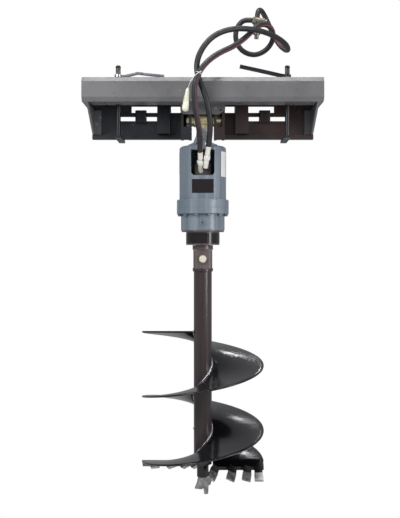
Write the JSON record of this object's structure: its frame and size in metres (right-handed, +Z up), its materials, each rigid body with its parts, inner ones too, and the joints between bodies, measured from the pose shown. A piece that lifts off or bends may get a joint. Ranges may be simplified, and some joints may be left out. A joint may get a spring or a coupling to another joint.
{
  "type": "earth auger drive",
  "caption": "Hydraulic planetary earth auger drive with a double-pin swing hanger, quick-attach mount frame, hoses and a helical drilling bit.",
  "frame": {"origin": "centre of the coupler plate's rear face, where the frame seats on the loader's coupler", "axes": "+Z up along the auger, +Y towards the loader, out of the coupler plate's rear face, +X to the right seen from the auger's side"},
  "size_m": [1.146, 0.7051, 2.509],
  "materials": {
    "frame_paint": "satin",
    "pin_steel": "machined",
    "yellow_zinc": "plated",
    "lever_zinc": "zinc plated",
    "housing_paint": "satin",
    "output_paint": "satin",
    "label_film": "gloss",
    "motor_paint": "painted casting",
    "seal_rubber": "matt",
    "fitting_plating": "bright plated",
    "hose_rubber": "matt",
    "coupler_steel": "plated",
    "sleeve_plastic": "clear film over paper",
    "auger_paint": "gloss",
    "tooth_steel": "cast, bright"
  },
  "bodies": {
    "frame": {"top_beam": "frame_paint", "beam_caps": "frame_paint", "side_plate_left": "frame_paint", "side_plate_right": "frame_paint", "coupler_plate": "frame_paint", "bottom_rails": "frame_paint", "stiffeners": "frame_paint", "stop_lugs": "frame_paint", "hanger_ear_left": "frame_paint", "hanger_ear_right": "frame_paint", "hanger_cover": "frame_paint", "upper_pin": "yellow_zinc", "pin_nut": "yellow_zinc", "pin_collars": "yellow_zinc", "hose_left_upper": "hose_rubber", "hose_right_upper": "hose_rubber", "coupler_male": "coupler_steel", "coupler_female": "coupler_steel", "document_sleeve": "sleeve_plastic", "cable_tie": "sleeve_plastic"},
    "lock_left": {"lock_lever_left": "lever_zinc", "lock_rod_left": "pin_steel", "lock_spring_left": "pin_steel"},
    "lock_right": {"lock_lever_right": "lever_zinc", "lock_rod_right": "pin_steel", "lock_spring_right": "pin_steel"},
    "hanger": {"swivel_link": "yellow_zinc"},
    "drive": {"drive_housing": "housing_paint", "drive_yoke": "housing_paint", "lower_pin": "pin_steel", "flange_bolts": "housing_paint", "label_plate": "label_film", "motor_port_block": "motor_paint", "motor_gerotor": "motor_paint", "motor_flange": "motor_paint", "ring_gear_housing": "housing_paint", "oil_plug": "housing_paint", "output_housing": "output_paint", "output_bearings": "pin_steel", "shaft_seal": "seal_rubber", "hose_ferrules": "fitting_plating", "port_fittings": "fitting_plating", "hose_left_lower": "hose_rubber", "hose_right_lower": "hose_rubber"},
    "sun": {"sun_gear": "pin_steel"},
    "planet_1": {"planet_gear_1": "pin_steel"},
    "planet_2": {"planet_gear_2": "pin_steel"},
    "planet_3": {"planet_gear_3": "pin_steel"},
    "auger": {"planet_carrier": "pin_steel", "output_shaft": "output_paint", "auger_hub": "output_paint", "hub_pin": "pin_steel", "hub_clip": "pin_steel", "auger_stem": "auger_paint", "main_flight": "auger_paint", "second_flight": "auger_paint", "cutting_edges": "auger_paint", "tooth_holders": "auger_paint", "cutter_teeth": "tooth_steel", "pilot_holder": "auger_paint", "pilot_bit": "tooth_steel"}
  },
  "joints": [
    {"name": "hanger_swing", "type": "hinge", "parent": "frame", "child": "hanger", "pos_m": [0, -0.1, -0.036], "axis": [-1, 0, 0], "range_deg": [-15, 40], "deforming": ["hose_left_upper", "hose_right_upper"]},
    {"name": "drive_tilt", "type": "hinge", "parent": "hanger", "child": "drive", "pos_m": [0, -0.1, -0.112], "axis": [0, 1, 0], "range_deg": [-8, 8], "deforming": ["hose_left_lower", "hose_right_lower"]},
    {"name": "auger_spin", "type": "hinge", "parent": "drive", "child": "auger", "pos_m": [0, -0.1, -0.65], "axis": [0, 0, 1], "continuous": true},
    {"name": "sun_spin", "type": "hinge", "parent": "drive", "child": "sun", "pos_m": [0, -0.1, -0.5], "axis": [0, 0, 1], "continuous": true},
    {"name": "lock_left_turn", "type": "hinge", "parent": "frame", "child": "lock_left", "pos_m": [-0.41, -0.16, 0.15], "axis": [0, 0, -1], "range_deg": [0, 90]},
    {"name": "lock_right_turn", "type": "hinge", "parent": "frame", "child": "lock_right", "pos_m": [0.41, -0.16, 0.15], "axis": [0, 0, 1], "range_deg": [0, 90]},
    {"name": "planet_1_spin", "type": "hinge", "parent": "auger", "child": "planet_1", "pos_m": [0.054, -0.1, -0.53], "axis": [0, 0, 1], "continuous": true},
    {"name": "planet_2_spin", "type": "hinge", "parent": "auger", "child": "planet_2", "pos_m": [-0.027, -0.05323, -0.53], "axis": [0, 0, 1], "continuous": true},
    {"name": "planet_3_spin", "type": "hinge", "parent": "auger", "child": "planet_3", "pos_m": [-0.027, -0.14677, -0.53], "axis": [0, 0, 1], "continuous": true}
  ],
  "couplings": [
    {"joint": "sun_spin", "follows": "auger_spin", "ratio": 4.5},
    {"joint": "planet_1_spin", "follows": "auger_spin", "ratio": -2.8},
    {"joint": "planet_2_spin", "follows": "auger_spin", "ratio": -2.8},
    {"joint": "planet_3_spin", "follows": "auger_spin", "ratio": -2.8}
  ]
}
